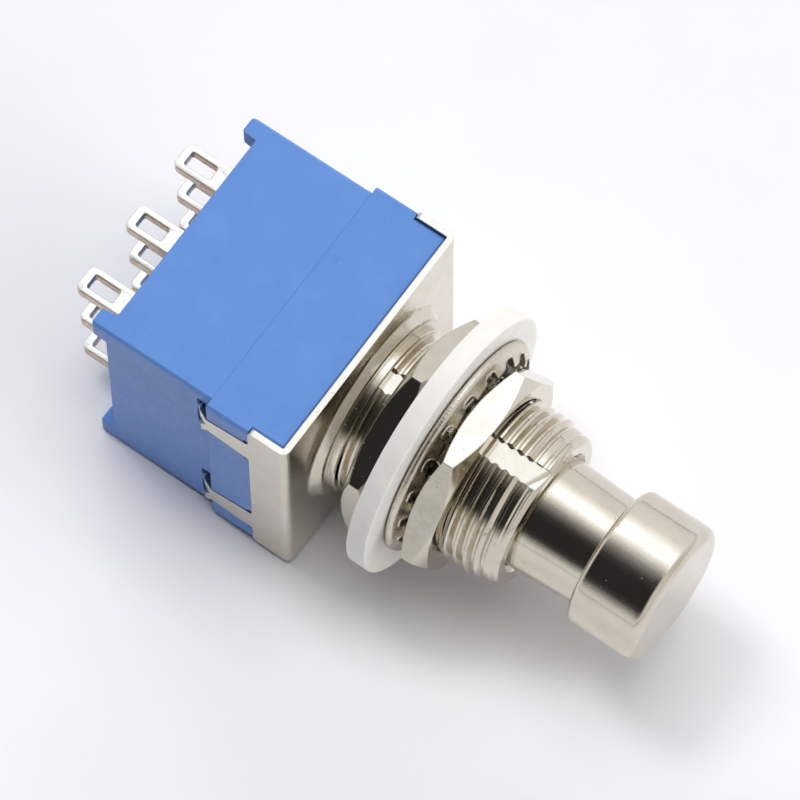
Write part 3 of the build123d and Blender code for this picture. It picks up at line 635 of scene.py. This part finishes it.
thread = skin("threaded_bushing", outside + inside, TURNED_NICKEL)
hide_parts("bushing")
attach(thread, "housing")
print("faces in the threaded bushing:", len(thread.data.polygons))

# %% [markdown]
# ## The lock washer
# An internal-tooth lock washer is punched from spring steel with a ring of notches, and the
# teeth between them are set: lifted and twisted, so that their corners bite the nut. The dies
# push up a soft lip round each notch, and those thin bright rims are what the eye reads as
# teeth. A ring chain works here too: the rings follow plain circles at the band and the notched
# outline inside, and one height function dishes the sheet, lifts the teeth and twists them. The
# rim is sheared, so it carries fine upright scores. The washer is loose on the thread and has
# slipped a little further than its solid, still inside the solid's room.

# %% Sizes of the lock washer
washer_low, washer_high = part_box("lock_washer")
EXTRA_SLIP = 0.25
BASE_LIFT = 0.06
WASHER_X = (washer_low.x + washer_high.x) / 2 / MM - EXTRA_SLIP
WASHER_BASE = washer_low.z / MM + BASE_LIFT
WASHER_R = (washer_high.x - washer_low.x) / 2 / MM
WASHER_SHEET = 0.45
BAND_R = 7.52
BAND_MIDDLE_R = 7.64
NOTCH_ROOT_R = 7.26
TIP_R = 6.56
NOTCH_HALF = 0.52
NOTCH_CORNER = 0.28
TIP_CORNER = 0.06
TEETH = 18
WASHER_TURN = math.radians(6.5)
DISH = 0.38
TOOTH_LIFT = 0.1
TOOTH_TWIST = 0.12
SET_START = 0.1
SET_LENGTH = 0.6
SCORE_DEPTH = 0.035
SCORE_STEP = 37
SCORE_KINDS = 11
room_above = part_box("front_nut")[0].z / MM - WASHER_BASE - WASHER_SHEET
print("room for the teeth:", round(room_above, 2), "mm")


# %% The outline of one notch and one tooth
def notch_outline():
    """Angle and radius from one notch's middle, round a tooth, to the next notch's middle."""
    flat = NOTCH_HALF - NOTCH_CORNER
    half = [(0.0, NOTCH_ROOT_R), (flat / 2, NOTCH_ROOT_R), (flat, NOTCH_ROOT_R)]
    for k in range(1, 5):
        a = math.radians(22.5 * k)
        out = NOTCH_ROOT_R - NOTCH_CORNER * (1 - math.cos(a))
        half.append((flat + NOTCH_CORNER * math.sin(a), out))
    top, low = NOTCH_ROOT_R - NOTCH_CORNER, TIP_R + TIP_CORNER
    half += [(NOTCH_HALF, top + (low - top) * k / 4) for k in range(1, 5)]
    for k in range(1, 4):
        a = math.radians(30 * k)
        side = NOTCH_HALF + TIP_CORNER * (1 - math.cos(a))
        half.append((side, low - TIP_CORNER * math.sin(a)))
    outline = [(math.atan2(side, along), math.hypot(side, along)) for side, along in half]
    start, middle = outline[-1][0], math.pi / TEETH
    outline += [(start + (middle - start) * k / 5, TIP_R) for k in range(1, 6)]
    back = [(2 * middle - angle, radius) for angle, radius in reversed(outline[1:-1])]
    return outline + back


NOTCH = notch_outline()
print("points round one tooth:", len(NOTCH))


# %% The rings of the lock washer
def smooth(share):
    """A soft step from 0 to 1."""
    x = min(max(share, 0.0), 1.0)
    return x * x * (3 - 2 * x)


def washer_ring(spread, drop, radius=BAND_R, scored=0.0):
    """A ring of the washer: spread 0 is a circle of this radius, and 1 is the notched edge."""
    points = []
    step = 2 * math.pi / TEETH
    for i in range(TEETH * len(NOTCH)):
        tooth, place = divmod(i, len(NOTCH))
        edge_angle, edge_r = NOTCH[place]
        angle = (1 - spread) * step * place / len(NOTCH) + spread * edge_angle
        r = (1 - spread) * radius + spread * edge_r
        set_share = smooth((NOTCH_ROOT_R + SET_START - r) / SET_LENGTH)
        across = r * (angle - step / 2)
        dished = WASHER_BASE + WASHER_SHEET + DISH * (WASHER_R - r)
        z = dished + set_share * (TOOTH_LIFT + TOOTH_TWIST * across) - drop
        r -= scored * SCORE_DEPTH * ((i * SCORE_STEP) % SCORE_KINDS) / SCORE_KINDS
        angle += step * tooth + WASHER_TURN
        points.append(Vector((WASHER_X + r * math.cos(angle), r * math.sin(angle), z)) * MM)
    return points


print("points in a ring of the washer:", len(washer_ring(0, 0.0)))

# %% Form the lock washer
# Round the outer rim: radius, drop below the top face, and how much of the scoring shows.
RIM = [
    (7.78, 0.44, 0.0),
    (7.87, 0.38, 1.0),
    (7.89, 0.3, 1.0),
    (7.88, 0.14, 1.0),
    (7.83, 0.05, 0.7),
    (7.72, 0.0, 0.0),
]
# From the band to the notched edge: spread, and drop; the lip stands up where the drop is
# below nothing.
TOP = [
    (0.0, 0.0),
    (0.3, 0.0),
    (0.55, 0.0),
    (0.66, -0.03),
    (0.76, -0.065),
    (0.85, -0.07),
    (0.93, -0.04),
    (0.98, 0.02),
    (1.0, 0.08),
]
UNDER = [(1.0, 0.37), (0.92, 0.44), (0.6, 0.45), (0.0, 0.45)]
washer_rings = [washer_ring(0, drop, radius, scored) for radius, drop, scored in RIM]
washer_rings += [washer_ring(0, 0.0, BAND_MIDDLE_R)]
washer_rings += [washer_ring(spread, drop) for spread, drop in TOP + UNDER]
toothed_washer = skin("toothed_washer", washer_rings, SATIN_NICKEL)
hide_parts("lock_washer")
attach(toothed_washer, "housing")
heights = [round(v.co.z / MM, 3) for v in toothed_washer.data.vertices]
print("faces:", len(toothed_washer.data.polygons), "from", min(heights), "to", max(heights), "mm")

# %% [markdown]
# ## Lugs with soft edges
# The lugs are tumbled after blanking, which takes the corners off, so the outer ends have soft,
# round edges and the eyelets have no crisp rim. Each lug is taken from its own solid. The flat
# faces are joined first, so that a bevel finds clean edges, and then every sharp edge outside
# the block is rounded. The ends inside the block stay as they are.

# %% Round the lugs
LUG_ROUND = 0.1
LUG_WELD = 0.001
FLAT_TO = math.radians(1)
ROUND_FROM = math.radians(40)
LUG_SHARP_FROM = math.radians(35)
FEET_Z = min(v.co.z for v in solids["base_housing"].data.vertices)
print("the block's feet end at", round(FEET_Z / MM, 2), "mm")


def rounded_lug(name):
    """A copy of one terminal whose outer end has round edges."""
    shaped = bmesh.new()
    shaped.from_mesh(solids[name].data)
    bmesh.ops.remove_doubles(shaped, verts=shaped.verts, dist=LUG_WELD * MM)
    everything = {"verts": shaped.verts, "edges": shaped.edges}
    bmesh.ops.dissolve_limit(shaped, angle_limit=FLAT_TO, **everything)
    whole = [e for e in shaped.edges if len(e.link_faces) == 2]
    sharp = [e for e in whole if e.calc_face_angle() > ROUND_FROM]
    outer = [e for e in sharp if min(v.co.z for v in e.verts) < FEET_Z]
    rounding = {"offset": LUG_ROUND * MM, "segments": 3, "profile": 0.5, "affect": "EDGES"}
    bmesh.ops.bevel(shaped, geom=outer, **rounding)
    mesh = bpy.data.meshes.new(name.replace("terminal", "lug"))
    shaped.to_mesh(mesh)
    shaped.free()
    mesh.materials.append(SILVERED_COPPER)
    mesh.shade_smooth()
    mesh.set_sharp_from_angle(angle=LUG_SHARP_FROM)
    made = place_in_scene(mesh.name, mesh)
    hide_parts(name)
    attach(made, "housing")
    return made


lugs = [rounded_lug(name) for name in sorted(solids) if name.startswith("terminal_")]
print("rounded lugs:", len(lugs), "faces in the first:", len(lugs[0].data.polygons))

# %% [markdown]
# ## The springs
# A coil spring is wound from hard drawn wire, and it shortens by closing its turns. A rigid one
# would stand in the button's way. Each spring is taken from its own solid into a copy, and the
# script works out what share of its length, measured along its joint's axis, it would keep after
# the joint's whole stroke. The copies themselves are not made to shorten.

# %% Copy the springs
def giving_spring(name, joint_name, body):
    """A copy of one spring, and the share of its length it would keep after its joint's whole
    stroke; the copy is not shortened.
    """
    joint = next(j for j in frame["record"]["behaviour"]["joints"] if j["name"] == joint_name)
    along = Vector(joint["axis"])
    made = place_in_scene("coiled_" + name, solids[name].data.copy())
    made.data.name = made.name
    reach = [v.co.dot(along) for v in made.data.vertices]
    length = max(reach) - min(reach)
    keep = (length - joint["range_m"][1]) / length
    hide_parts(name)
    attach(made, body)
    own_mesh(made)
    return keep


kept = [giving_spring("return_spring", "button_press", "housing")]
kept += [giving_spring(f"pin_spring_{n}", f"pin_{n}_slide", "rocker") for n in poles]
print("share of its length that each spring keeps:", [round(k, 3) for k in kept])

# %% [markdown]
# ## The table
# The switch lies on its side on a white sheet. It touches the sheet with the rim of the nylon
# washer and the edge of the block, so it leans two and a half degrees from the plunger's axis.
# It is a stage, not a part of the switch. From behind, the sheet would hide the switch, so its
# back is left clear, and so is the sheet for any light path that came in through its back.

# %% Lay the table
TABLE_HALF_M = 4.0
TABLE_GAP = 0.02


def table_top():
    """A large flat sheet that touches the nylon washer and the block's far edge."""
    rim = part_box("nylon_washer")[1]
    block_low, block_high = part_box("base_housing")
    lean = math.atan2(rim.y - block_high.y, rim.z - block_low.z)
    mesh = bpy.data.meshes.new("white_table")
    half = TABLE_HALF_M
    corners = [(-half, -half, 0), (half, -half, 0), (half, half, 0), (-half, half, 0)]
    mesh.from_pydata(corners, [], [(0, 1, 2, 3)])
    table = place_in_scene("white_table", mesh)
    table.rotation_euler = (math.radians(90) - lean, 0, 0)
    table.location = (0, rim.y + TABLE_GAP * MM, rim.z)
    print("the table leans by", round(math.degrees(lean), 2), "degrees")
    return table


# %% Cover the table with paper
def table_paper(colour_hex):
    """Matt white paper that is clear from behind."""
    material, tree, surface, place = blank("Paper, white, matt", Roughness=0.9, IOR=1.3)
    fibre = mottle(tree, place, 9.0, 0.0, 1.0)
    colour = add(
        tree,
        "Mix",
        {"Factor": fibre, "A": linear(colour_hex), "B": linear("#F7F6F8")},
        data_type="RGBA",
    )
    tree.links.new(colour.outputs["Result"], surface.inputs["Base Color"])
    path = add(tree, "LightPath")
    behind = add(tree, "NewGeometry").outputs["Backfacing"]
    depth = {0: path.outputs["Transparent Depth"], 1: 0.5}
    came_through = add(tree, "Math", depth, operation="GREATER_THAN").outputs["Value"]
    clear = add(tree, "Math", {0: behind, 1: came_through}, operation="MAXIMUM")
    glass = add(tree, "BsdfTransparent")
    mixed = {0: clear.outputs["Value"], 1: surface.outputs["BSDF"], 2: glass.outputs["BSDF"]}
    both = add(tree, "MixShader", mixed)
    output = next(n for n in tree.nodes if n.type == "OUTPUT_MATERIAL")
    tree.links.new(both.outputs["Shader"], output.inputs["Surface"])
    return material


table = table_top()
table.data.materials.append(table_paper("#F5F4F7"))
print("the table is covered with:", table.data.materials[0].name)

# %% [markdown]
# ## The studio
# Polished metal is a picture of the room, so the room is part of the finish. Seen round the
# plunger's axis, it holds a bright, cool white softbox overhead on the -X side, a black flag
# next to it towards +X, and pale card everywhere else. The world draws it as one ramp over the
# compass bearing. The flag and softbox are only so tall: beyond both ends of the switch the
# walls fade to one pale tone. A cylinder shows the flag as its dark band, while thread flanks,
# chamfers and the dished washer look past the flag's ends and stay light. Only shiny
# reflections see this room. Matt surfaces take their light from the lamps, and a second ramp
# lights only what faces away from them, under the table. Camera rays see a plain pale room.

# %% Build the room
def cool(level):
    """A softbox's slightly blue white at this level, which keeps nickel's glare from yellowing."""
    return 0.94 * level, level, 1.12 * level


# Compass bearings in degrees, and how bright the wall is there.
ROOM = [
    (-180, 0.85),
    (-165, 0.95),
    (-146, 1.0),
    (-136, 1.3),
    (-127, cool(1.68)),
    (-108, cool(1.68)),
    (-103, 1.3),
    (-96, 0.85),
    (-87, 0.38),
    (-79, 0.18),
    (-71, 0.06),
    (-60, 0.03),
    (-30, 0.03),
    (-22, 0.07),
    (-15, 0.33),
    (-7, 0.73),
    (0, 0.9),
    (180, 0.85),
]
# The walls end between these sines of the angle towards either end of the switch.
WALL_ENDS = (0.4, 0.72)
END_TONE = "#E6E4E1"
ROOM_SEEN = "#F7F6F8"
UNDERSIDE = [(-180, 0.0), (-5, 0.0), (10, 0.85), (170, 0.85), (180, 0.0)]


def compass_ramp(tree, share, levels):
    """A ramp of greys and cool whites over the compass bearing, from -180 to 180 degrees."""
    ramp = add(tree, "ValToRGB", {"Fac": share})
    stops = ramp.color_ramp.elements
    while len(stops) > 1:
        stops.remove(stops[-1])
    for i, (degrees, level) in enumerate(levels):
        stop = stops[0] if i == 0 else stops.new((degrees + 180) / 360)
        stop.position = (degrees + 180) / 360
        stop.color = (*(level if isinstance(level, tuple) else (level,) * 3), 1)
    return ramp.outputs["Color"]


print("stops in the room's ramp:", len(ROOM))

# %% Hang the room in the world
world = bpy.data.worlds.new("studio")
bpy.context.scene.world = world
world.use_nodes = True
sky = world.node_tree
sky.nodes.clear()
compass = add(sky, "SeparateXYZ", {"Vector": add(sky, "TexCoord").outputs["Generated"]})
bearing = add(sky, "Math", {0: compass.outputs["Y"], 1: compass.outputs["X"]}, operation="ARCTAN2")
span = {"Value": bearing.outputs["Value"], "From Min": -math.pi, "From Max": math.pi}
share = add(sky, "MapRange", span).outputs["Result"]
path = add(sky, "LightPath")
steep = add(sky, "Math", {0: compass.outputs["Z"]}, operation="ABSOLUTE")
past = {"Value": steep.outputs["Value"], "From Min": WALL_ENDS[0], "From Max": WALL_ENDS[1]}
past_share = add(sky, "MapRange", past, interpolation_type="SMOOTHSTEP").outputs["Result"]
walls = {"Factor": past_share, "A": compass_ramp(sky, share, ROOM), "B": linear(END_TONE)}
shiny = add(sky, "Mix", walls, data_type="RGBA").outputs["Result"]
matt = compass_ramp(sky, share, UNDERSIDE)
lit = {"Factor": path.outputs["Is Glossy Ray"], "A": matt, "B": shiny}
room = add(sky, "Mix", lit, data_type="RGBA").outputs["Result"]
seen = {"Factor": path.outputs["Is Camera Ray"], "A": room, "B": linear(ROOM_SEEN)}
backdrop = add(sky, "Mix", seen, data_type="RGBA").outputs["Result"]
room_light = add(sky, "Background", {"Color": backdrop})
add(sky, "OutputWorld", {"Surface": room_light.outputs["Background"]})
print("nodes in the world:", len(sky.nodes))

# %% [markdown]
# ## Lamps
# Six square softboxes light the matt surfaces and the table. The strongest hangs straight
# above, with a small one beside it that gives the shade its edge. Two more lean in from the -X
# side, from behind the block and from in front of the button, and throw the shade towards +X.
# One faces the button's end, and a weak cool fill on the +X side keeps the block's flank from
# going dark. None of them shows in the metal, because the world already draws what the metal
# sees.

# %% Hang the lamps
LAMP_DISTANCE_M = 0.7
LARGE_M = 0.5
SMALL_M = 0.16
WHITE = "#FFFFFF"
COOL_WHITE = "#DCEAFF"


def softbox(name, side_m, bearing_deg, rise_deg, watts, hex_colour):
    """A square lamp that looks at the switch from a bearing round the plunger's axis."""
    data = bpy.data.lights.new(name, "AREA")
    data.shape = "SQUARE"
    data.size = side_m
    data.energy = watts
    data.color = linear(hex_colour)[:3]
    lamp = place_in_scene(name, data)
    a, e = math.radians(bearing_deg), math.radians(rise_deg)
    away = Vector((math.cos(a) * math.cos(e), math.sin(a) * math.cos(e), math.sin(e)))
    lamp.location = away * LAMP_DISTANCE_M
    lamp.rotation_euler = away.to_track_quat("Z", "Y").to_euler()
    lamp.visible_glossy = False
    lamp.visible_camera = False
    return lamp


lamps = [
    softbox("top_softbox", LARGE_M, -96, 0, 2.6, WHITE),
    softbox("top_spot", SMALL_M, -93, -22, 1.15, WHITE),
    softbox("back_softbox", LARGE_M, -155, -40, 2.4, WHITE),
    softbox("front_softbox", LARGE_M, -121, 45, 1.2, WHITE),
    softbox("end_softbox", LARGE_M, -110, 79, 2.1, WHITE),
    softbox("side_fill", LARGE_M, -8, 0, 0.55, COOL_WHITE),
]
print("lamps:", [lamp.name for lamp in lamps])

# %% [markdown]
# ## The camera
# A long lens from well above keeps the edges nearly parallel, as a catalogue picture does. The
# camera looks down on the button's end and one flank of the block. It is set by two
# directions, right and up in the picture, and by the place where it stands, in metres. It
# looks along what is square to both directions.

# %% Set up the camera
PICTURE_RIGHT = Vector((-0.57754, 0.00397, 0.81635))
PICTURE_UP = Vector((-0.75166, -0.39276, -0.52986))
CAMERA_PLACE = Vector((0.15426, -0.44848, 0.11346))
view = bpy.data.cameras.new("catalogue_view")
view.lens = 341.5
view.sensor_width = 36
view.clip_start = 0.01
view.clip_end = 20
camera = place_in_scene("catalogue_view", view)
back = PICTURE_RIGHT.cross(PICTURE_UP).normalized()
stand = Matrix((PICTURE_RIGHT, PICTURE_UP, back)).transposed().to_4x4()
stand.translation = CAMERA_PLACE
camera.matrix_world = stand
bpy.context.scene.camera = camera
bpy.context.scene.view_settings.view_transform = "Standard"
print("camera distance:", round(CAMERA_PLACE.length, 3), "m")
